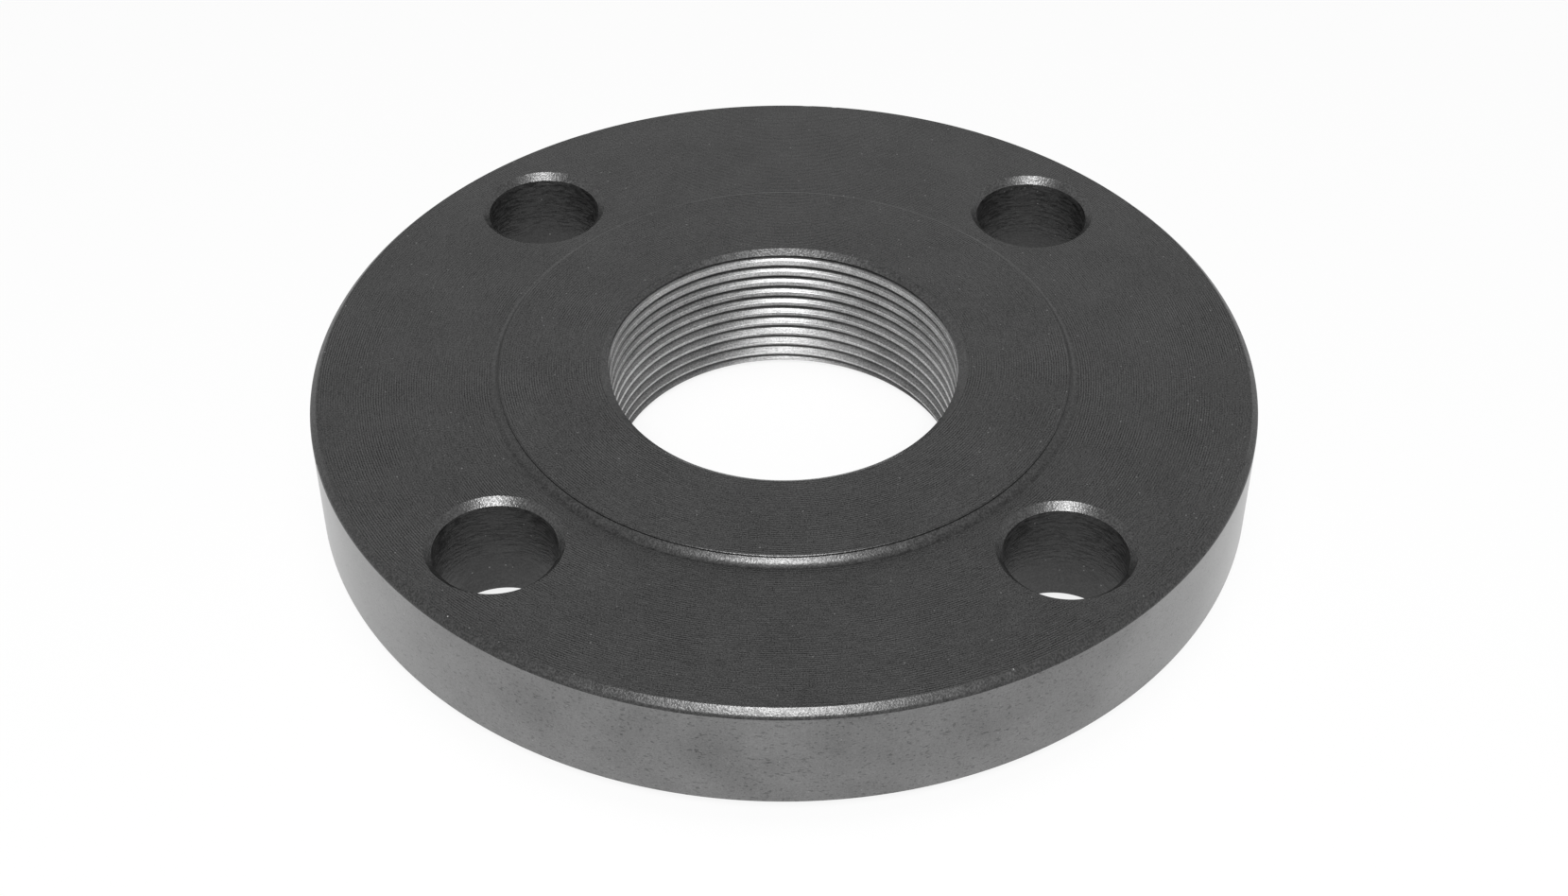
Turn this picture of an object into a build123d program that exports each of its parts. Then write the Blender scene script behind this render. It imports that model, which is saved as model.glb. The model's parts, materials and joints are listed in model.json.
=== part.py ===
from build123d import *
import os
from math import atan, ceil, cos, degrees, radians, tan

# Threaded pipe flange, nominal pipe size 2, pressure class 150: one steel forging that is
# turned, drilled and tapped. Sizes are in millimetres. The origin is the middle of the
# hub's end face, which the flange lies on, and the raised face looks up, along +Z.

# Bore, drilled straight, with an open mouth at each end
bore_diameter = 56.36
face_mouth_width = 1.4
face_mouth_depth = 1.1
hub_mouth_width = 2.6
hub_mouth_depth = 2.0

# Taper pipe thread, tapped from the hub's end: 11.5 turns to the inch, 1 in 16 on the
# diameter. Its groove deepens towards the hub and leaves flat crests of the drilled bore.
thread_pitch = 25.4 / 11.5
thread_taper = 1 / 16
thread_flank_angle = 30.0
thread_start_angle = 71.6
thread_depth_at_hub = 0.7 * thread_pitch
thread_root_flat = 0.086 * thread_pitch
groove_cutter_depth = 0.77 * thread_pitch

# Hub, with the wall that is left around the bore
hub_wall = 10.82
hub_projection = 5.2
hub_root_chamfer = 1.5
hub_end_chamfer = 1.0

# Bolt holes, clear of the hub by the room that a nut and its spanner need
bolt_hole_diameter = 19.05
bolt_hole_count = 4
first_hole_angle = 45.0
bolt_hole_chamfer = 1.1
nut_clearance = 11.8

# Rim, out to the land that is left outside the bolt holes
rim_land = 6.35
rim_thickness = 19.0
rim_face_chamfer = 1.1
rim_back_chamfer = 0.3

# Raised gasket face inside the bolt holes, with the cove that the turning tool leaves
raised_face_clearance = 4.75
raised_face_height = 1.3
raised_face_cove = 1.0
raised_face_edge_break = 0.15

bore_radius = bore_diameter / 2
bolt_hole_radius = bolt_hole_diameter / 2
hub_radius = bore_radius + hub_wall
bolt_circle_radius = hub_radius + nut_clearance + bolt_hole_radius
flange_radius = bolt_circle_radius + bolt_hole_radius + rim_land
raised_face_radius = bolt_circle_radius - bolt_hole_radius - raised_face_clearance
rim_top = hub_projection + rim_thickness
face_top = rim_top + raised_face_height

# Turns of the groove, from one pitch below the hub's end to one above the raised face
groove_turns = ceil(face_top / thread_pitch) + 2
root_radius_at_hub = bore_radius + thread_depth_at_hub
cone_half_angle = degrees(atan(thread_taper / 2))
slant_pitch = thread_pitch / cos(radians(cone_half_angle))
root_half_flat = thread_root_flat / 2
cutter_half_width = root_half_flat + groove_cutter_depth * tan(radians(thread_flank_angle))


def rings(radius):
    """The circular edges of the flange with this radius, from the lowest to the highest."""
    circles = flange.edges().filter_by(GeomType.CIRCLE)
    return circles.filter_by(lambda edge: abs(edge.radius - radius) < 0.001).sort_by(Axis.Z)


def groove_turn(turn):
    """One turn of the groove's cutter: a trapezoid that rises and narrows along a cone."""
    start = (turn - 1) * thread_pitch
    root_radius = root_radius_at_hub - start * thread_taper / 2

    def rail(depth, rise):
        helix = Helix(
            pitch=slant_pitch,
            height=thread_pitch,
            radius=root_radius - depth,
            center=(0, 0, start + rise),
            cone_angle=-cone_half_angle,
            mode=Mode.PRIVATE,
        )
        return helix.edge()

    rails = [
        rail(0, -root_half_flat),
        rail(0, root_half_flat),
        rail(groove_cutter_depth, cutter_half_width),
        rail(groove_cutter_depth, -cutter_half_width),
    ]
    sides = [Face.make_surface_from_curves(rails[i - 1], rails[i]) for i in range(4)]
    ends = [Face(Wire.make_polygon([edge @ end for edge in rails])) for end in (0, 1)]
    return Solid(Shell(sides + ends)).rotate(Axis.Z, thread_start_angle)


with BuildPart() as flange:
    with BuildSketch(Plane.XZ) as section:
        with BuildLine() as outline:
            Polyline(
                (bore_radius, hub_mouth_depth),
                (bore_radius + hub_mouth_width, 0),
                (hub_radius, 0),
                (hub_radius, hub_projection),
                (flange_radius, hub_projection),
                (flange_radius, rim_top),
                (raised_face_radius, rim_top),
                (raised_face_radius, face_top),
                (bore_radius + face_mouth_width, face_top),
                (bore_radius, face_top - face_mouth_depth),
                close=True,
            )
        make_face()
    revolve(axis=Axis.Z)

    rim_back_edge, rim_face_edge = rings(flange_radius)
    chamfer(rim_face_edge, length=rim_face_chamfer)
    chamfer(rim_back_edge, length=rim_back_chamfer)
    hub_end_edge, hub_root_edge = rings(hub_radius)
    chamfer(hub_end_edge, length=hub_end_chamfer)
    chamfer(hub_root_edge, length=hub_root_chamfer)
    raised_face_foot, raised_face_edge = rings(raised_face_radius)
    fillet(raised_face_foot, radius=raised_face_cove)
    chamfer(raised_face_edge, length=raised_face_edge_break)

    with Locations((0, 0, rim_top)):
        with PolarLocations(bolt_circle_radius, bolt_hole_count, first_hole_angle):
            CounterSinkHole(
                radius=bolt_hole_radius,
                counter_sink_radius=bolt_hole_radius + bolt_hole_chamfer,
                counter_sink_angle=90,
            )

    for turn in range(groove_turns):
        add(groove_turn(turn), mode=Mode.SUBTRACT)

flange.part.label = "flange"
os.makedirs("parts", exist_ok=True)
export_step(flange.part, "parts/flange.step")
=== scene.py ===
import json
from math import cos, pi, radians, sin, tan

import bmesh
import bpy
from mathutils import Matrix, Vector


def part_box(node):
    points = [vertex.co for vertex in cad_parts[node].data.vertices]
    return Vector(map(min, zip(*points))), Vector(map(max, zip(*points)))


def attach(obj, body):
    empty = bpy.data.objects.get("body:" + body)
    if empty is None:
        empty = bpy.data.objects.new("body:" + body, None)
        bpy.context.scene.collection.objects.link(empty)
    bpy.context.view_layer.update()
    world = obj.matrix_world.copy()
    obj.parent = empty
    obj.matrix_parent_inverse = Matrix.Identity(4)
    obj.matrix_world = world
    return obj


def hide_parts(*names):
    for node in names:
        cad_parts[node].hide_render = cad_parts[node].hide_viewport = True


# Threaded pipe flange: the turned, drilled and tapped forging with its finishes, on a pale
# studio floor. Lengths are in metres. The hub's end lies on z = 0 and the raised face looks up.

bl_info = {
    "name": "Threaded pipe flange",
    "version": (1, 0, 0),
    "blender": (4, 5, 0),
    "location": "View3D > Sidebar > Flange",
    "description": "Builds a threaded pipe flange and the studio that it stands in",
    "category": "Add Mesh",
}

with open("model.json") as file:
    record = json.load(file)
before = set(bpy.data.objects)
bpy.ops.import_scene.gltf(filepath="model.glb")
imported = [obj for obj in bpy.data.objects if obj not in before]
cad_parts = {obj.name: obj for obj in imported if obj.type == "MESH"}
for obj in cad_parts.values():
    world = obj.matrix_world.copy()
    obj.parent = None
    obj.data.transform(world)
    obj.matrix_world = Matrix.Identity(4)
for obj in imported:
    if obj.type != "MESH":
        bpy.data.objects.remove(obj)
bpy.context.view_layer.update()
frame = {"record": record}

MM = 0.001
INCH = 25.4 * MM
CAD_NODE = "flange"
THREAD_PITCH = INCH / 11.5
THREAD_FLANK = radians(30.0)
FACING_FEED = 0.4 * MM

# The finishes, in the order of their numbers, and the face attribute that holds the number
FINISHES = ("face", "rim", "edge", "mouth", "thread", "hole")
FINISH = "finish"

# Steps of a rounded corner, and the radius above which it counts as large
LARGE_ROUNDING = 0.5 * MM
LARGE_STEPS = 10
SMALL_STEPS = 3

# Points closer than this are joined into one
WELD = 0.002 * MM

# Shading runs smoothly over an edge that turns less than this
SMOOTH_TURN = radians(22.0)

mounts = {mount["name"]: mount for mount in frame["record"]["mounts"]}
thread_mount = mounts["pipe_thread"]["dims"]
bolt_mount = mounts["bolt_circle"]["dims"]
flange_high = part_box(CAD_NODE)[1]


def length(name, description, default):
    """A length that the user can change, shown in the scene's unit."""
    return bpy.props.FloatProperty(
        name=name, description=description, default=default, min=0.0, unit="LENGTH", precision=5
    )


def angle(name, description, default):
    """An angle that the user can change, shown in degrees."""
    return bpy.props.FloatProperty(
        name=name, description=description, default=default, subtype="ANGLE"
    )


def share(name, description, default):
    """A number from 0 to 1 that the user can change."""
    return bpy.props.FloatProperty(
        name=name, description=description, default=default, min=0.0, max=1.0, subtype="FACTOR"
    )


def brightness(name, default):
    """A lamp's radiance that the user can change, where the white floor has 1."""
    return bpy.props.FloatProperty(
        name=name, description="Beside the white floor's 1", default=default, subtype="UNSIGNED"
    )


def whole(name, description, default):
    """A count that the user can change."""
    return bpy.props.IntProperty(name=name, description=description, default=default, min=1)


def grey(name, description, level):
    """A colour that the user can change, grey at first."""
    return bpy.props.FloatVectorProperty(
        name=name, description=description, default=(level,) * 3, min=0.0, max=1.0, subtype="COLOR"
    )


class FlangeSizes(bpy.types.PropertyGroup):
    """Sizes of the turned, drilled and tapped forging."""

    flange_radius: length("Flange radius", "Out to the rim", flange_high.x)
    overall_height: length("Overall height", "From hub end to raised face", flange_high.z)
    bore_radius: length("Bore radius", "Of the thread's crests", thread_mount["r_mm"] * MM)
    bolt_circle: length("Bolt circle radius", "To each hole", bolt_mount["pcd_mm"] * MM / 2)
    hole_radius: length("Bolt hole radius", "Of the drilled wall", bolt_mount["hole_r_mm"] * MM)
    hole_count: whole("Bolt holes", "How many holes lie on the bolt circle", bolt_mount["count"])
    first_hole: angle("First bolt hole", "Where the first hole lies, from +X", radians(45.0))
    hub_projection: length("Hub projection", "Out of the back", mounts["nut_face"]["pos_m"][2])
    hub_radius: length("Hub radius", "Outside of the hub", 39.0 * MM)
    hub_root: length("Hub root", "Chamfer between hub and back", 1.5 * MM)
    hub_end: length("Hub end", "Chamfer at the end of the hub", 1.0 * MM)
    hub_mouth_width: length("Hub mouth width", "Of the cone at the hub's end", 2.6 * MM)
    hub_mouth_depth: length("Hub mouth depth", "Of the cone at the hub's end", 2.0 * MM)
    face_mouth_width: length("Face mouth width", "Of the cone at the raised face", 1.4 * MM)
    face_mouth_depth: length("Face mouth depth", "Of the cone at the raised face", 1.1 * MM)
    raised_face_radius: length("Raised face radius", "Out to the step", 46.05 * MM)
    raised_face_height: length("Raised face height", "Of the step", 1.3 * MM)
    cove: length("Cove", "Width of the slope at the foot of the step", 0.95 * MM)
    cove_round: length("Cove rounding", "Where the slope meets the rim's face", 1.5 * MM)
    face_edge: length("Raised face edge", "Rounding along the edge of the step", 0.22 * MM)
    rim_chamfer: length("Rim chamfer", "Between the rim's face and its side", 1.1 * MM)
    rim_chamfer_round: length("Rim chamfer rounding", "Where the chamfer meets the side", 0.9 * MM)
    rim_back: length("Rim back chamfer", "Between the rim's side and its back", 0.3 * MM)
    hole_chamfer: length("Bolt hole chamfer", "Around each hole on the face", 1.1 * MM)
    hole_back: length("Bolt hole back", "Chamfer around each hole on the back", 0.45 * MM)
    edge_round: length("Edge rounding", "On every other turned corner", 0.1 * MM)
    thread_pitch: length("Thread pitch", "From crest to crest", THREAD_PITCH)
    thread_taper: share("Thread taper", "Change of diameter along the thread", 1 / 16)
    thread_start: angle("Thread start", "Where the groove's middle passes z = 0", radians(71.6))
    groove_depth: length("Groove depth", "Of the thread at the hub's end", 0.7 * THREAD_PITCH)
    groove_flat: length("Groove flat", "At the root of the thread", 0.086 * THREAD_PITCH)
    groove_round: length("Groove rounding", "Radius at the thread's root", 0.45 * MM)
    drill_mark_pitch: length("Drill mark pitch", "Between the rings in a bolt hole", 0.45 * MM)
    drill_mark_depth: length("Drill mark depth", "Of the rings in a bolt hole", 0.05 * MM)
    nick_count: whole("Edge nicks", "Small knocks along the rim's edge", 26)
    seed: whole("Seed", "For the nicks and the drill marks", 7)
    segments: whole("Segments", "Around the flange and around one turn of thread", 360)
    hole_segments: whole("Hole segments", "Around each bolt hole", 96)


class FlangeFinishes(bpy.types.PropertyGroup):
    """Colours of the steel where each tool has cut it."""

    face: grey("Turned face", "Darkened faces, front and back", 0.074)
    rim: grey("Rim side", "Matt grey side of the rim", 0.142)
    edge: grey("Cut edges", "Chamfers of rim and hub, and cove", 0.064)
    mouth: grey("Mouths", "Cones of the bore and chamfers of the bolt holes", 0.08)
    thread: grey("Thread", "Bright tapped steel", 0.56)
    hole: grey("Bolt holes", "Drilled walls", 0.07)


class StudioSettings(bpy.types.PropertyGroup):
    """Camera, lamps and floor."""

    lens: bpy.props.FloatProperty(
        name="Lens", description="Focal length", default=56.975, subtype="DISTANCE_CAMERA"
    )
    camera_distance: length("Camera distance", "To the middle of the rim's back", 414.49 * MM)
    camera_azimuth: angle("Camera azimuth", "From -Y towards +X", radians(0.759))
    camera_elevation: angle("Camera elevation", "Above the floor", radians(41.53))
    camera_rise: length("Camera rise", "How far above the middle the camera looks", 0.7 * MM)
    key_elevation: angle("Key lamp elevation", "Above the floor, over the camera", radians(48.5))
    key_distance: length("Key lamp distance", "From the flange", 1.5)
    key_size: length("Key lamp size", "Across the lamp", 0.42)
    key_radiance: brightness("Key lamp radiance", 54.0)
    top_distance: length("Top lamp distance", "Above the floor", 1.4)
    top_size: length("Top lamp size", "Across the lamp", 1.1)
    top_radiance: brightness("Top lamp radiance", 1.0)
    surroundings: share("Surroundings", "What the camera and glossy metal see around", 1.0)
    overhead: share("Overhead", "What the camera and glossy metal see overhead", 0.45)
    dims_from: share("Dims from", "Rise of a ray where the surroundings begin to dim", 0.58)
    dims_to: share("Dims to", "Rise of a ray where they are as dim as overhead", 0.8)
    ambient: share("Ambient light", "From all around, on matt surfaces", 0.15)
    floor_glow: share("Floor glow", "Share of the floor's white that no shadow dims", 0.85)
    floor_size: length("Floor size", "Across the floor", 8.0)
    floor_colour: grey("Floor", "Pale floor", 0.9)


class Reading:
    """An output in a node tree that is written like a number: arithmetic on it adds Math nodes."""

    def __init__(self, tree, output):
        self.tree = tree
        self.output = output

    def math(self, operation, *others):
        node = self.tree.nodes.new("ShaderNodeMath")
        node.operation = operation
        for slot, value in zip(node.inputs, (self, *others)):
            join(self.tree, value, slot)
        return Reading(self.tree, node.outputs[0])

    def __add__(self, other):
        return self.math("ADD", other)

    def __sub__(self, other):
        return self.math("SUBTRACT", other)

    def __mul__(self, other):
        return self.math("MULTIPLY", other)

    def __truediv__(self, other):
        return self.math("DIVIDE", other)


def join(tree, value, slot):
    """Give a node's input a value, another node's output or a reading."""
    if isinstance(value, Reading):
        value = value.output
    if isinstance(value, bpy.types.NodeSocket):
        tree.links.new(value, slot)
    else:
        slot.default_value = value


def put(tree, kind, settings=None, **inputs):
    """A new node with these settings and inputs, which are named with underscores for spaces."""
    node = tree.nodes.new(kind)
    for name, value in (settings or {}).items():
        setattr(node, name, value)
    for name, value in inputs.items():
        wanted = name.replace("_", " ")
        slots = [slot for slot in node.inputs if slot.name == wanted and slot.enabled]
        join(tree, value, slots[0])
    return node


def shown_output(node):
    """The output that a node with several kinds of value has in use."""
    return [output for output in node.outputs if output.enabled][0]


def vector(tree, x, y, z):
    """A vector made of three readings or numbers."""
    return put(tree, "ShaderNodeCombineXYZ", X=x, Y=y, Z=z).outputs[0]


# The turned blank


def fillet(before, corner, after, radius, steps):
    """Points of an arc that rounds a corner of a plane outline, or the corner when it stays sharp."""
    if radius == 0:
        return [corner]
    back = (before - corner).normalized()
    ahead = (after - corner).normalized()
    half = back.angle(ahead) / 2
    middle = corner + (back + ahead).normalized() * radius / sin(half)
    start = corner + back * radius / tan(half) - middle
    sweep = start.angle_signed(corner + ahead * radius / tan(half) - middle)
    points = []
    for step in range(steps + 1):
        turn = -sweep * step / steps
        x = start.x * cos(turn) - start.y * sin(turn)
        y = start.x * sin(turn) + start.y * cos(turn)
        points.append(middle + Vector((x, y)))
    return points


def turned_section(sizes):
    """The blank's section, each point with the finish up to the next one, outwards from the bore."""
    s = sizes
    rim_top = s.overall_height - s.raised_face_height
    top = s.overall_height
    hub = s.hub_projection
    step = s.raised_face_radius
    soft = s.edge_round
    corners = [
        (s.bore_radius + s.hub_mouth_width, 0, soft, "face"),
        (s.hub_radius - s.hub_end, 0, soft, "edge"),
        (s.hub_radius, s.hub_end, soft, "face"),
        (s.hub_radius, hub - s.hub_root, 0, "edge"),
        (s.hub_radius + s.hub_root, hub, 0, "face"),
        (s.flange_radius - s.rim_back, hub, 0, "edge"),
        (s.flange_radius, hub + s.rim_back, 0, "rim"),
        (s.flange_radius, rim_top - s.rim_chamfer, s.rim_chamfer_round, "edge"),
        (s.flange_radius - s.rim_chamfer, rim_top, soft, "face"),
        (step + s.cove, rim_top, s.cove_round, "edge"),
        (step, rim_top + s.cove, soft, "edge"),
        (step, top, s.face_edge, "face"),
        (s.bore_radius + s.face_mouth_width, top, soft, "mouth"),
        (s.bore_radius, top - s.face_mouth_depth, 0, "thread"),
        (s.bore_radius, s.hub_mouth_depth, 0, "mouth"),
    ]
    section = []
    for index, (radius, height, rounding, finish) in enumerate(corners):
        before = Vector(corners[index - 1][:2])
        after = Vector(corners[(index + 1) % len(corners)][:2])
        steps = LARGE_STEPS if rounding > LARGE_ROUNDING else SMALL_STEPS
        arc = fillet(before, Vector((radius, height)), after, rounding, steps)
        section += [(point.x, point.y, "edge") for point in arc[:-1]]
        section.append((arc[-1].x, arc[-1].y, finish))
    return section


def turned_blank(sizes, materials):
    """The blank as a closed ring, each face marked with the number of its finish."""
    section = turned_section(sizes)
    mesh = bmesh.new()
    marks = mesh.faces.layers.int.new(FINISH)
    rings = []
    for index in range(sizes.segments):
        turn = 2 * pi * index / sizes.segments
        rings.append([mesh.verts.new((r * cos(turn), r * sin(turn), z)) for r, z, _ in section])
    for index, ring in enumerate(rings):
        following = rings[(index + 1) % sizes.segments]
        for row, (_, _, finish) in enumerate(section):
            after = (row + 1) % len(section)
            corners = (ring[row], following[row], following[after], ring[after])
            mesh.faces.new(corners)[marks] = FINISHES.index(finish)
    bmesh.ops.recalc_face_normals(mesh, faces=mesh.faces)
    data = bpy.data.meshes.new("turned_blank")
    mesh.to_mesh(data)
    mesh.free()
    for finish in FINISHES:
        data.materials.append(materials[finish])
    return data


# Drilling and tapping


def finish_marked(tree, geometry, finish):
    """The geometry with its faces marked with the number of a finish."""
    mark = put(
        tree,
        "GeometryNodeStoreNamedAttribute",
        {"data_type": "INT", "domain": "FACE"},
        Geometry=geometry,
        Name=FINISH,
        Value=FINISHES.index(finish),
    )
    return mark.outputs[0]


def drill(tree, ask):
    """A drill that reaches through the rim, with a wall that carries the rings of a rough feed."""
    over = 2 * MM
    ring_width = 0.9 * MM
    change_around = 0.12
    least_depth = 0.15
    start = vector(tree, 0.0, 0.0, ask["Back height"] - over)
    end = vector(tree, 0.0, 0.0, ask["Face height"] + over)
    axis = put(tree, "GeometryNodeCurvePrimitiveLine", Start=start, End=end)
    row_count = (ask["Face height"] - ask["Back height"] + over * 2) / ask["Drill mark pitch"]
    rows = put(tree, "GeometryNodeResampleCurve", Curve=axis.outputs[0], Count=row_count)
    circle = put(
        tree,
        "GeometryNodeCurvePrimitiveCircle",
        Resolution=ask["Hole segments"],
        Radius=ask["Hole radius"],
    )
    wall = put(
        tree,
        "GeometryNodeCurveToMesh",
        Curve=rows.outputs[0],
        Profile_Curve=circle.outputs[0],
        Fill_Caps=True,
    )
    place = put(tree, "GeometryNodeInputPosition").outputs[0]
    parts = put(tree, "ShaderNodeSeparateXYZ", Vector=place)
    x, y, z = (Reading(tree, output) for output in parts.outputs)
    wobble = vector(tree, x * change_around, y * change_around, z)
    rough = put(tree, "ShaderNodeTexNoise", Vector=wobble, Scale=1 / ring_width, Detail=1.0)
    rise = (z - ask["Back height"]) / (ask["Face height"] - ask["Back height"])
    reach = put(tree, "ShaderNodeClamp", Value=rise * rise, Min=least_depth, Max=1.0)
    depth = (Reading(tree, rough.outputs[0]) - 0.5) * ask["Drill mark depth"]
    swell = depth * Reading(tree, reach.outputs[0]) * 2 / ask["Hole radius"]
    away = vector(tree, x * swell, y * swell, 0.0)
    worn = put(tree, "GeometryNodeSetPosition", Geometry=wall.outputs[0], Offset=away)
    return finish_marked(tree, worn.outputs[0], "hole")


def countersink(tree, ask, chamfer, height, upwards):
    """A cutter at 45 degrees that leaves a chamfer around a hole, at this height of the rim."""
    spare = 0.5 * MM
    narrow = ask["Hole radius"] - spare
    wide = ask["Hole radius"] + chamfer + spare
    cone = put(
        tree,
        "GeometryNodeMeshCone",
        {"fill_type": "NGON"},
        Vertices=ask["Hole segments"],
        Radius_Bottom=narrow if upwards else wide,
        Radius_Top=wide if upwards else narrow,
        Depth=chamfer + spare * 2,
    )
    foot = height - chamfer - spare if upwards else height - spare
    lift = vector(tree, 0.0, 0.0, foot)
    cutter = put(tree, "GeometryNodeTransform", Geometry=cone.outputs[0], Translation=lift)
    return finish_marked(tree, cutter.outputs[0], "mouth")


def on_bolt_circle(tree, cutter, ask):
    """The cutter at each place on the bolt circle, turned at random about its own axis."""
    circle = put(
        tree, "GeometryNodeMeshCircle", Vertices=ask["Hole count"], Radius=ask["Bolt circle"]
    )
    turned = put(
        tree,
        "GeometryNodeTransform",
        Geometry=circle.outputs[0],
        Rotation=vector(tree, 0.0, 0.0, ask["First hole"]),
    )
    chance = put(tree, "FunctionNodeRandomValue", Max=2 * pi, Seed=ask["Seed"])
    spin = shown_output(chance)
    return put(
        tree,
        "GeometryNodeInstanceOnPoints",
        Points=turned.outputs[0],
        Instance=cutter,
        Rotation=vector(tree, 0.0, 0.0, spin),
    ).outputs[0]


def tap(tree, ask):
    """The helical ridge of a taper tap: a wedge, rounded at its tip, swept up a cone."""
    pitch = ask["Thread pitch"]
    spare_turns = 2.0
    tip_steps = 6
    needed = put(
        tree,
        "FunctionNodeFloatToInt",
        {"rounding_mode": "CEILING"},
        Float=ask["Overall height"] / pitch,
    )
    turns = Reading(tree, needed.outputs[0]) + spare_turns
    climb = turns * pitch
    root = ask["Bore radius"] + ask["Groove depth"] + pitch * ask["Thread taper"] / 2
    spiral = put(
        tree,
        "GeometryNodeCurveSpiral",
        Resolution=ask["Segments"],
        Rotations=turns,
        Start_Radius=root,
        End_Radius=root - climb * ask["Thread taper"] / 2,
        Height=climb,
        Reverse=True,
    )
    upright = put(
        tree, "GeometryNodeSetCurveNormal", {"mode": "Z_UP"}, Curve=spiral.outputs[0]
    )
    spare = 0.12 * MM
    flank = tan(THREAD_FLANK)
    depth = ask["Groove depth"] + spare
    half = ask["Groove flat"] / 2 + depth * flank
    ridge = put(
        tree,
        "GeometryNodeCurvePrimitiveQuadrilateral",
        {"mode": "POINTS"},
        Point_1=vector(tree, depth * -1.0, half * -1.0, 0.0),
        Point_2=vector(tree, ask["Groove flat"] / (2 * flank), 0.0, 0.0),
        Point_3=vector(tree, depth * -1.0, half, 0.0),
        Point_4=vector(tree, depth * -1.0, 0.0, 0.0),
    )
    corner = put(tree, "GeometryNodeInputIndex").outputs[0]
    at_tip = put(
        tree, "FunctionNodeCompare", {"data_type": "INT", "operation": "EQUAL"}, A=corner, B=1
    )
    rounding = Reading(tree, at_tip.outputs[0]) * ask["Groove rounding"]
    blunt = put(
        tree,
        "GeometryNodeFilletCurve",
        {"mode": "POLY"},
        Curve=ridge.outputs[0],
        Radius=rounding,
        Count=tip_steps,
    )
    swept = put(
        tree,
        "GeometryNodeCurveToMesh",
        Curve=upright.outputs[0],
        Profile_Curve=blunt.outputs[0],
        Fill_Caps=True,
    )
    placed = put(
        tree,
        "GeometryNodeTransform",
        Geometry=swept.outputs[0],
        Translation=vector(tree, 0.0, 0.0, pitch * -1.0),
        Rotation=vector(tree, 0.0, 0.0, ask["Thread start"]),
    )
    return finish_marked(tree, placed.outputs[0], "thread")


def nicks(tree, ask):
    """Small drawn-out balls along the rim's face edge, each of which takes a knock out of it."""
    points = put(tree, "GeometryNodePoints", Count=ask["Nick count"])

    def random(low, high, offset):
        seed = put(tree, "FunctionNodeIntegerMath", {"operation": "ADD"})
        join(tree, ask["Seed"], seed.inputs[0])
        seed.inputs[1].default_value = offset
        chance = put(tree, "FunctionNodeRandomValue", Min=low, Max=high, Seed=seed.outputs[0])
        return shown_output(chance)

    turn = Reading(tree, random(0.0, 2 * pi, 1))
    deep = Reading(tree, random(0.02 * MM, 0.16 * MM, 2))
    long = Reading(tree, random(0.25 * MM, 1.1 * MM, 3))
    tall = Reading(tree, random(0.2 * MM, 0.5 * MM, 4))
    edge = Reading(tree, random(0.0, 1.0, 5)).math("ROUND")
    # A ball whose middle stands this share of its radius out from the edge and above it just
    # meets the edge
    clear = 0.72
    away = ask["Flange radius"] - ask["Rim chamfer"] * edge + tall * clear - deep
    height = ask["Face height"] - ask["Rim chamfer"] * (edge * -1.0 + 1.0) + tall * clear - deep
    place = vector(tree, turn.math("COSINE") * away, turn.math("SINE") * away, height)
    spread = put(tree, "GeometryNodeSetPosition", Geometry=points.outputs[0], Position=place)
    ball = put(tree, "GeometryNodeMeshIcoSphere", Radius=1.0, Subdivisions=2)
    marked = finish_marked(tree, ball.outputs[0], "edge")
    return put(
        tree,
        "GeometryNodeInstanceOnPoints",
        Points=spread.outputs[0],
        Instance=marked,
        Rotation=vector(tree, 0.0, 0.0, turn),
        Scale=vector(tree, tall, long, tall),
    ).outputs[0]


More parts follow.
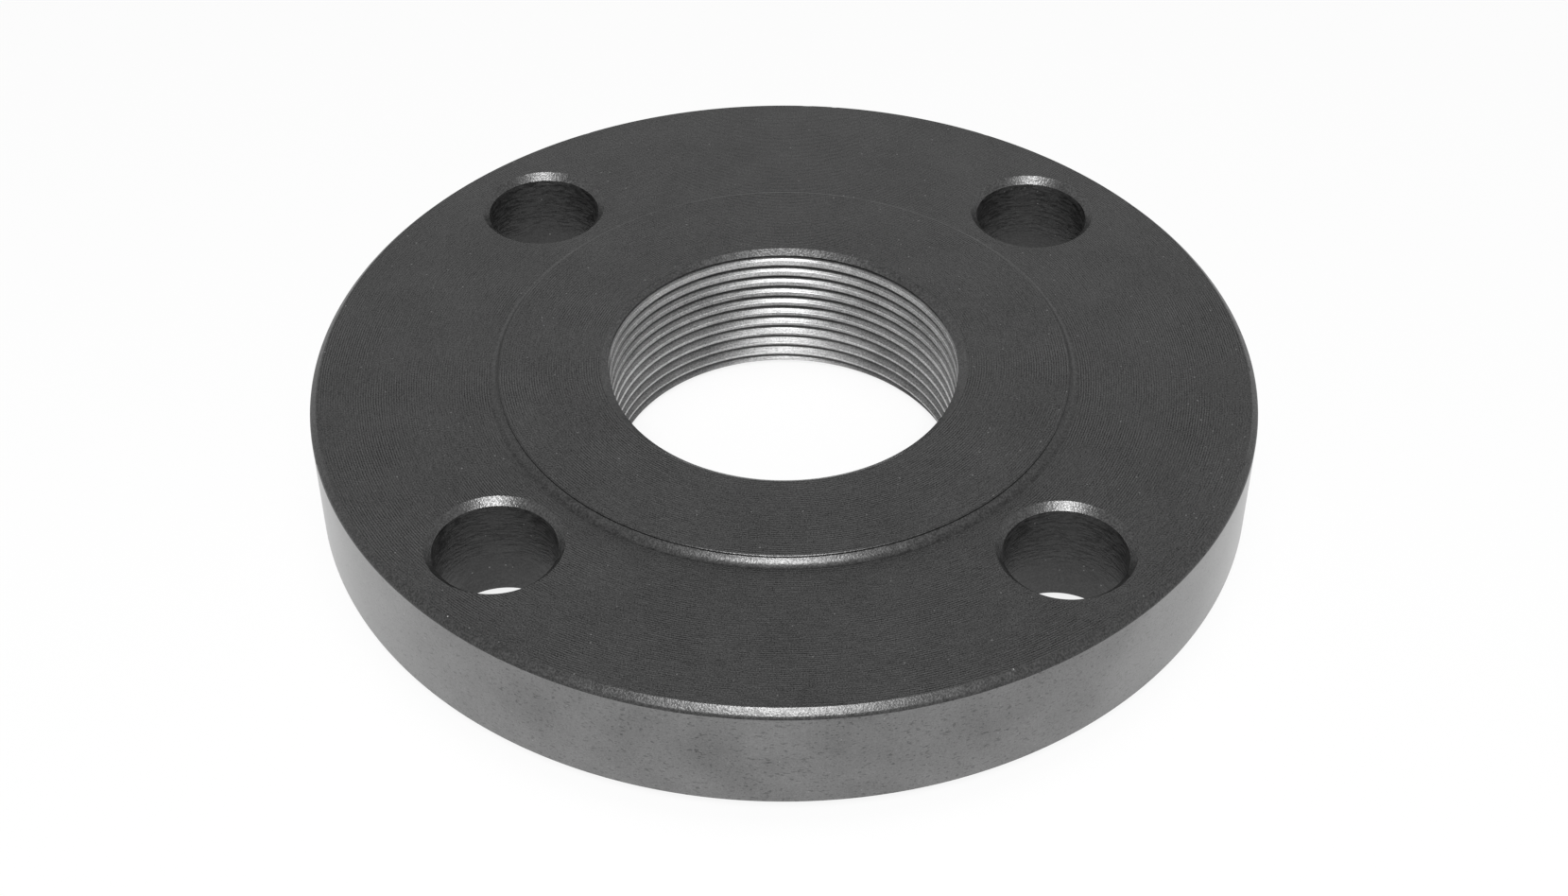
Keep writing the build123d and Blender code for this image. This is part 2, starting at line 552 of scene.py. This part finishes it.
def machining_tree(sizes, materials):
    """The tree that drills, countersinks, taps and nicks a turned blank, and its inputs by name."""
    tree = bpy.data.node_groups.new("Drill and tap", "GeometryNodeTree")
    socket = tree.interface.new_socket
    socket(name="Blank", in_out="INPUT", socket_type="NodeSocketGeometry")
    rim_top = sizes.overall_height - sizes.raised_face_height
    values = {
        "Back height": sizes.hub_projection,
        "Face height": rim_top,
        "Overall height": sizes.overall_height,
        "Flange radius": sizes.flange_radius,
        "Rim chamfer": sizes.rim_chamfer,
        "Bolt circle": sizes.bolt_circle,
        "First hole": sizes.first_hole,
        "Hole radius": sizes.hole_radius,
        "Hole chamfer": sizes.hole_chamfer,
        "Hole back": sizes.hole_back,
        "Drill mark pitch": sizes.drill_mark_pitch,
        "Drill mark depth": sizes.drill_mark_depth,
        "Bore radius": sizes.bore_radius,
        "Thread pitch": sizes.thread_pitch,
        "Thread taper": sizes.thread_taper,
        "Thread start": sizes.thread_start,
        "Groove depth": sizes.groove_depth,
        "Groove flat": sizes.groove_flat,
        "Groove rounding": sizes.groove_round,
    }
    counts = {
        "Hole count": sizes.hole_count,
        "Nick count": sizes.nick_count,
        "Seed": sizes.seed,
        "Segments": sizes.segments,
        "Hole segments": sizes.hole_segments,
    }
    inputs = {}
    for name, value in values.items():
        inputs[socket(name=name, in_out="INPUT", socket_type="NodeSocketFloat").identifier] = value
    for name, value in counts.items():
        inputs[socket(name=name, in_out="INPUT", socket_type="NodeSocketInt").identifier] = value
    for finish in FINISHES:
        item = socket(name=f"Finish {finish}", in_out="INPUT", socket_type="NodeSocketMaterial")
        inputs[item.identifier] = materials[finish]
    socket(name="Flange", in_out="OUTPUT", socket_type="NodeSocketGeometry")
    given = tree.nodes.new("NodeGroupInput")
    ask = {slot.name: Reading(tree, slot) for slot in given.outputs if slot.name}

    face_side = countersink(tree, ask, ask["Hole chamfer"], ask["Face height"], upwards=True)
    back_side = countersink(tree, ask, ask["Hole back"], ask["Back height"], upwards=False)
    cut = put(
        tree,
        "GeometryNodeMeshBoolean",
        {"operation": "DIFFERENCE", "solver": "MANIFOLD"},
        Mesh_1=ask["Blank"],
    )
    for cutter in (
        on_bolt_circle(tree, drill(tree, ask), ask),
        on_bolt_circle(tree, face_side, ask),
        on_bolt_circle(tree, back_side, ask),
        tap(tree, ask),
        nicks(tree, ask),
    ):
        join(tree, cutter, cut.inputs["Mesh 2"])
    whole_mesh = put(tree, "GeometryNodeRealizeInstances", Geometry=cut.outputs[0]).outputs[0]
    mark = put(tree, "GeometryNodeInputNamedAttribute", {"data_type": "INT"}, Name=FINISH)
    for number, finish in enumerate(FINISHES):
        chosen = put(
            tree,
            "FunctionNodeCompare",
            {"data_type": "INT", "operation": "EQUAL"},
            A=mark.outputs[0],
            B=number,
        )
        whole_mesh = put(
            tree,
            "GeometryNodeSetMaterial",
            Geometry=whole_mesh,
            Selection=chosen.outputs[0],
            Material=ask[f"Finish {finish}"],
        ).outputs[0]
    result = tree.nodes.new("NodeGroupOutput")
    tree.links.new(whole_mesh, result.inputs[0])
    return tree, inputs


def machined(blank, sizes, materials):
    """The mesh that the tree makes of the blank, with its corners kept sharp."""
    piece = bpy.data.objects.new("turned_blank", blank)
    bpy.context.scene.collection.objects.link(piece)
    tree, inputs = machining_tree(sizes, materials)
    modifier = piece.modifiers.new("Drill and tap", "NODES")
    modifier.node_group = tree
    for identifier, value in inputs.items():
        modifier[identifier] = value
    shown = piece.evaluated_get(bpy.context.evaluated_depsgraph_get())
    data = bpy.data.meshes.new_from_object(shown)
    bpy.data.objects.remove(piece)
    keep_corners(data)
    return data


def keep_corners(data):
    """Smooth shading that stops where a corner or another tool's surface begins."""
    mesh = bmesh.new()
    mesh.from_mesh(data)
    bmesh.ops.remove_doubles(mesh, verts=mesh.verts, dist=WELD)
    marks = mesh.faces.layers.int[FINISH]
    for face in mesh.faces:
        face.smooth = True
    for edge in mesh.edges:
        one, other = edge.link_faces
        edge.smooth = one[marks] == other[marks] and edge.calc_face_angle() < SMOOTH_TURN
    mesh.to_mesh(data)
    mesh.free()


# Finishes


class Finish:
    """A steel material in the making, with the readings that its patterns share."""

    def __init__(self, name):
        self.material = bpy.data.materials.new(name)
        self.material.use_nodes = True
        self.tree = self.material.node_tree
        self.tree.nodes.clear()
        self.place = put(self.tree, "ShaderNodeTexCoord").outputs["Object"]
        parts = put(self.tree, "ShaderNodeSeparateXYZ", Vector=self.place)
        self.x, self.y, self.z = (Reading(self.tree, output) for output in parts.outputs)
        self.radius = (self.x * self.x + self.y * self.y).math("SQRT")

    def noise(self, size, detail, place=None):
        """Noise from 0 to 1 with patches of this size and this many finer layers in them."""
        kind = "ShaderNodeTexNoise"
        node = put(self.tree, kind, Vector=place or self.place, Scale=1 / size, Detail=detail)
        return Reading(self.tree, node.outputs[0])

    def around(self, across, stretch):
        """A place whose pattern is drawn out along the flange's turning, by this many times."""
        return vector(self.tree, self.x / stretch, self.y / stretch, across)

    def remap(self, reading, low, high, to_low, to_high):
        """A reading stretched from one range to another and held there."""
        node = put(
            self.tree,
            "ShaderNodeMapRange",
            Value=reading,
            From_Min=low,
            From_Max=high,
            To_Min=to_low,
            To_Max=to_high,
        )
        return Reading(self.tree, node.outputs[0])

    def specks(self, spacing, size, chance):
        """Scattered dots, 1 in a dot and 0 outside, with this chance of a dot in each cell."""
        cells = put(self.tree, "ShaderNodeTexVoronoi", Vector=self.place, Scale=1 / spacing)
        near = Reading(self.tree, cells.outputs["Distance"]).math("LESS_THAN", size / spacing)
        red = put(self.tree, "ShaderNodeSeparateColor", Color=cells.outputs["Color"]).outputs[0]
        return near * Reading(self.tree, red).math("LESS_THAN", chance)

    def made(self, colour, level, roughness, relief, depth, oil=0.0):
        """The finished material: a colour times a level, a roughness, a relief and a film of oil."""
        tinted = put(self.tree, "ShaderNodeVectorMath", {"operation": "SCALE"}, Scale=level)
        tinted.inputs[0].default_value = colour[:3]
        bump = put(self.tree, "ShaderNodeBump", Strength=1.0, Distance=depth, Height=relief)
        shader = put(
            self.tree,
            "ShaderNodeBsdfPrincipled",
            Base_Color=tinted.outputs[0],
            Metallic=1.0,
            Roughness=roughness,
            Coat_Weight=oil,
            Coat_Roughness=0.3,
            Normal=bump.outputs[0],
        )
        output = put(self.tree, "ShaderNodeOutputMaterial")
        self.tree.links.new(shader.outputs[0], output.inputs["Surface"])
        return self.material


def turned_face_steel(finishes):
    """Darkened faces with the fine rings of the facing feed, a grain and a few bright specks."""
    finish = Finish("turned_face_steel")
    across = finish.radius + finish.z
    drift = finish.noise(6 * MM, 1.0) * 0.25 * MM
    rings = ((across + drift) * (2 * pi / FACING_FEED)).math("SINE")
    streaks = finish.noise(0.3 * MM, 2.0, finish.around(across, 5.0))
    grain = finish.noise(0.22 * MM, 3.0)
    cloud = finish.noise(9 * MM, 3.0)
    shown = finish.remap(finish.noise(14 * MM, 2.0), 0.4, 0.6, 0.1, 1.0)
    level = rings * shown * 0.4 + streaks * 0.8 + grain * 3.0 + cloud * 0.35 - 1.06
    level = level.math("MAXIMUM", 0.2) + finish.specks(1.6 * MM, 0.14 * MM, 0.3) * 1.6
    roughness = finish.remap(grain + streaks, 0.6, 1.4, 0.36, 0.5)
    relief = rings * 0.6 + streaks * 0.6 + grain * 2.0
    return finish.made(finishes.face, level, roughness, relief, 0.012 * MM)


def rim_side_steel(finishes):
    """The rim's matt grey side, mottled, with short dark dashes along it."""
    finish = Finish("rim_side_steel")
    mottle = finish.noise(12 * MM, 4.0)
    dashes = finish.noise(0.3 * MM, 2.0, finish.around(finish.z, 2.5))
    dark = finish.remap(dashes, 0.34, 0.41, 1.0, 0.0)
    grain = finish.noise(0.25 * MM, 2.0)
    glints = finish.specks(1.5 * MM, 0.12 * MM, 0.3)
    level = mottle * 1.3 + grain - 0.1 - dark * 0.55 + glints * 0.7
    roughness = finish.remap(mottle + dashes, 0.6, 1.4, 0.44, 0.56)
    relief = dashes * 1.8 + grain * 1.4
    return finish.made(finishes.rim, level, roughness, relief, 0.014 * MM, oil=1.0)


def cut_edge_steel(name, colour, relief_depth):
    """Chamfers, coves and mouths whose torn grain sparkles where the lamp meets it."""
    finish = Finish(name)
    grain = finish.noise(0.28 * MM, 1.0)
    coarse = finish.noise(1.1 * MM, 2.0)
    bright = finish.remap(grain, 0.38, 0.66, 0.0, 1.0)
    level = bright * 0.6 + coarse * 0.5 + 0.5
    roughness = finish.remap(coarse, 0.3, 0.7, 0.34, 0.42)
    relief = grain + coarse * 0.6
    return finish.made(colour, level, roughness, relief, relief_depth)


def tapped_steel(finishes, sizes):
    """Tapped steel: bright crests, duller flanks and painted shade in the roots, drawn along the
    thread.
    """
    finish = Finish("tapped_steel")
    full = finish.z * (sizes.thread_taper / -2) + sizes.groove_depth
    deep = (finish.radius - sizes.bore_radius) / full
    turn = finish.y.math("ARCTAN2", finish.x) / (2 * pi)
    phase = finish.z / sizes.thread_pitch - turn + sizes.thread_start / (2 * pi)
    above = ((phase + 0.5).math("FRACT") - 0.5) * sizes.thread_pitch
    half_groove = full * tan(THREAD_FLANK) + sizes.groove_flat / 2
    shoulder = (above - half_groove).math("ABSOLUTE")
    # Painted shadow: a thin darker band along the lower corner of the crest above each groove
    corner = finish.remap(shoulder, 0.05 * MM, 0.26 * MM, 0.15, 1.0)
    rise = (phase + half_groove / sizes.thread_pitch).math("FRACT").math("PINGPONG", 0.5)
    dull = finish.remap(finish.z, 5 * MM, 16 * MM, 0.5, 0.34)
    # Flanks are darker than the crests, and nearer the root the level falls further, as painted shade
    flank = finish.remap(deep, 0.02, 0.08, 1.0, dull) * finish.remap(deep, 0.35, 0.8, 1.0, 0.35)
    streaks = finish.noise(0.12 * MM, 3.0, finish.around(finish.z, 22.0))
    grain = finish.noise(0.22 * MM, 2.0)
    patches = finish.noise(4 * MM, 3.0, finish.around(finish.z, 2.0))
    level = streaks * 0.6 + grain * 2.0 + patches * 0.6 - 0.6
    # Painted shade: the turns nearest the hub's end, deepest in the bore, are darker
    level = level * corner * flank * finish.remap(finish.z, 5 * MM, 15 * MM, 0.8, 1.0)
    roughness = finish.remap(patches + grain, 0.7, 1.3, 0.34, 0.44)
    grain_depth = 0.008 * MM
    rounded = finish.remap(finish.z, 6 * MM, 20 * MM, 0.2, 0.36)
    relief = streaks * 1.2 + grain * 1.6 + rise * rounded * (sizes.thread_pitch / grain_depth)
    return finish.made(finishes.thread, level, roughness, relief, grain_depth)


def drilled_steel(finishes):
    """Dark drilled walls, scored round by the drill and flecked with brighter metal."""
    finish = Finish("drilled_steel")
    height = finish.z + finish.noise(5 * MM, 2.0) * 1.5 * MM
    scores = finish.noise(0.5 * MM, 3.0, finish.around(height, 4.0))
    scored = finish.remap(finish.z, 11 * MM, 14 * MM, 0.15, 1.0)
    marks = (finish.remap(scores, 0.38, 0.62, 0.0, 1.0) - 0.5) * scored
    grain = finish.noise(0.3 * MM, 3.0)
    flecks = finish.specks(1.2 * MM, 0.14 * MM, 0.25)
    level = marks * 0.45 + grain + 0.6 + flecks * 2.0
    roughness = finish.remap(scores, 0.3, 0.7, 0.4, 0.6)
    relief = marks * 1.6 + grain
    return finish.made(finishes.hole, level, roughness, relief, 0.035 * MM)


# Studio


def seen_directly(tree):
    """1 for what the camera sees, straight, in a gloss or through glass, and 0 for other light."""
    path = put(tree, "ShaderNodeLightPath")
    camera, glossy, clear = (
        Reading(tree, path.outputs[f"Is {kind} Ray"]) for kind in ("Camera", "Glossy", "Transmission")
    )
    return camera.math("MAXIMUM", glossy).math("MAXIMUM", clear)


def pale_floor(studio):
    """The floor, part lit and part glowing white, so that it stays pale and keeps its shadow."""
    material = bpy.data.materials.new("pale_floor")
    material.use_nodes = True
    tree = material.node_tree
    tree.nodes.clear()
    matt = put(tree, "ShaderNodeBsdfDiffuse", Color=(*studio.floor_colour, 1.0))
    glow = put(tree, "ShaderNodeEmission", Color=(1.0, 1.0, 1.0, 1.0), Strength=1.0)
    mixed = tree.nodes.new("ShaderNodeMixShader")
    join(tree, seen_directly(tree) * studio.floor_glow, mixed.inputs[0])
    tree.links.new(matt.outputs[0], mixed.inputs[1])
    tree.links.new(glow.outputs[0], mixed.inputs[2])
    output = put(tree, "ShaderNodeOutputMaterial")
    tree.links.new(mixed.outputs[0], output.inputs["Surface"])
    return material


def white_surroundings(studio):
    """A world that the eye and gloss see white, darker overhead, and a dim light for the rest."""
    world = bpy.data.worlds.new("white_surroundings")
    world.use_nodes = True
    tree = world.node_tree
    background = tree.nodes["Background"]
    background.inputs["Color"].default_value = (1.0, 1.0, 1.0, 1.0)
    towards = put(tree, "ShaderNodeTexCoord").outputs["Generated"]
    upwards = put(tree, "ShaderNodeSeparateXYZ", Vector=towards).outputs["Z"]
    shown = put(
        tree,
        "ShaderNodeMapRange",
        Value=upwards,
        From_Min=studio.dims_from,
        From_Max=studio.dims_to,
        To_Min=studio.surroundings,
        To_Max=studio.overhead,
    )
    seen = Reading(tree, shown.outputs[0]) - studio.ambient
    join(tree, seen_directly(tree) * seen + studio.ambient, background.inputs["Strength"])
    bpy.context.scene.world = world


def lamp(name, place, target, size, radiance):
    """A round soft lamp of this radiance that faces its target."""
    data = bpy.data.lights.new(name, "AREA")
    data.shape = "DISK"
    data.size = size
    area = pi * size * size / 4
    data.energy = radiance * pi * area
    holder = bpy.data.objects.new(name, data)
    holder.location = place
    holder.rotation_euler = (place - target).to_track_quat("Z", "Y").to_euler()
    holder.visible_camera = False
    bpy.context.scene.collection.objects.link(holder)


def direction(azimuth, elevation):
    """The unit vector towards an azimuth, from -Y towards +X, and an elevation."""
    return Vector((sin(azimuth) * cos(elevation), -cos(azimuth) * cos(elevation), sin(elevation)))


def photograph_camera(studio, sizes):
    """The camera, where the photograph was taken from."""
    data = bpy.data.cameras.new("camera")
    data.sensor_width = 36.0
    data.lens = studio.lens
    data.clip_start = 0.01
    camera = bpy.data.objects.new("camera", data)
    middle = Vector((0.0, 0.0, sizes.hub_projection))
    towards = direction(studio.camera_azimuth, studio.camera_elevation)
    up = direction(studio.camera_azimuth + pi, pi / 2 - studio.camera_elevation)
    camera.location = middle + towards * studio.camera_distance
    aim = middle + up * studio.camera_rise
    camera.rotation_euler = (camera.location - aim).to_track_quat("Z", "Y").to_euler()
    bpy.context.scene.collection.objects.link(camera)
    bpy.context.scene.camera = camera


# Operators and panel


class FLANGE_OT_forging(bpy.types.Operator):
    """Turn, drill and tap the flange, and give each surface its finish"""

    bl_idname = "flange.forging"
    bl_label = "Build flange"

    def execute(self, context):
        sizes = context.scene.flange_sizes
        finishes = context.scene.flange_finishes
        materials = {
            "face": turned_face_steel(finishes),
            "rim": rim_side_steel(finishes),
            "edge": cut_edge_steel("cut_edge_steel", finishes.edge, relief_depth=0.032 * MM),
            "mouth": cut_edge_steel("bore_mouth_steel", finishes.mouth, relief_depth=0.05 * MM),
            "thread": tapped_steel(finishes, sizes),
            "hole": drilled_steel(finishes),
        }
        data = machined(turned_blank(sizes, materials), sizes, materials)
        piece = bpy.data.objects.new("threaded_flange", data)
        context.scene.collection.objects.link(piece)
        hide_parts(CAD_NODE)
        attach(piece, "root")
        return {"FINISHED"}


class FLANGE_OT_studio(bpy.types.Operator):
    """Set up the pale floor, the lamps and the camera"""

    bl_idname = "flange.studio"
    bl_label = "Build studio"

    def execute(self, context):
        studio = context.scene.flange_studio
        mesh = bmesh.new()
        bmesh.ops.create_grid(mesh, x_segments=1, y_segments=1, size=studio.floor_size / 2)
        data = bpy.data.meshes.new("studio_floor")
        mesh.to_mesh(data)
        mesh.free()
        data.materials.append(pale_floor(studio))
        floor = bpy.data.objects.new("studio_floor", data)
        context.scene.collection.objects.link(floor)
        white_surroundings(studio)
        middle = Vector((0.0, 0.0, context.scene.flange_sizes.overall_height / 2))
        key = direction(studio.camera_azimuth, studio.key_elevation) * studio.key_distance
        lamp("key_lamp", middle + key, middle, studio.key_size, studio.key_radiance)
        above = Vector((0.0, 0.0, studio.top_distance))
        lamp("top_lamp", above, middle, studio.top_size, studio.top_radiance)
        photograph_camera(studio, context.scene.flange_sizes)
        context.scene.view_settings.view_transform = "Standard"
        return {"FINISHED"}


class FLANGE_PT_sidebar(bpy.types.Panel):
    """The flange's operators in the sidebar"""

    bl_idname = "FLANGE_PT_sidebar"
    bl_label = "Threaded pipe flange"
    bl_space_type = "VIEW_3D"
    bl_region_type = "UI"
    bl_category = "Flange"

    def draw(self, context):
        for operator in (FLANGE_OT_forging, FLANGE_OT_studio):
            self.layout.operator(operator.bl_idname)


CLASSES = (
    FlangeSizes,
    FlangeFinishes,
    StudioSettings,
    FLANGE_OT_forging,
    FLANGE_OT_studio,
    FLANGE_PT_sidebar,
)
SETTINGS = {
    "flange_sizes": FlangeSizes,
    "flange_finishes": FlangeFinishes,
    "flange_studio": StudioSettings,
}


def register():
    for kind in CLASSES:
        bpy.utils.register_class(kind)
    for name, kind in SETTINGS.items():
        setattr(bpy.types.Scene, name, bpy.props.PointerProperty(type=kind))


def unregister():
    for name in SETTINGS:
        delattr(bpy.types.Scene, name)
    for kind in reversed(CLASSES):
        bpy.utils.unregister_class(kind)


def main():
    register()
    bpy.ops.flange.forging()
    bpy.ops.flange.studio()


if __name__ == "__main__":
    main()
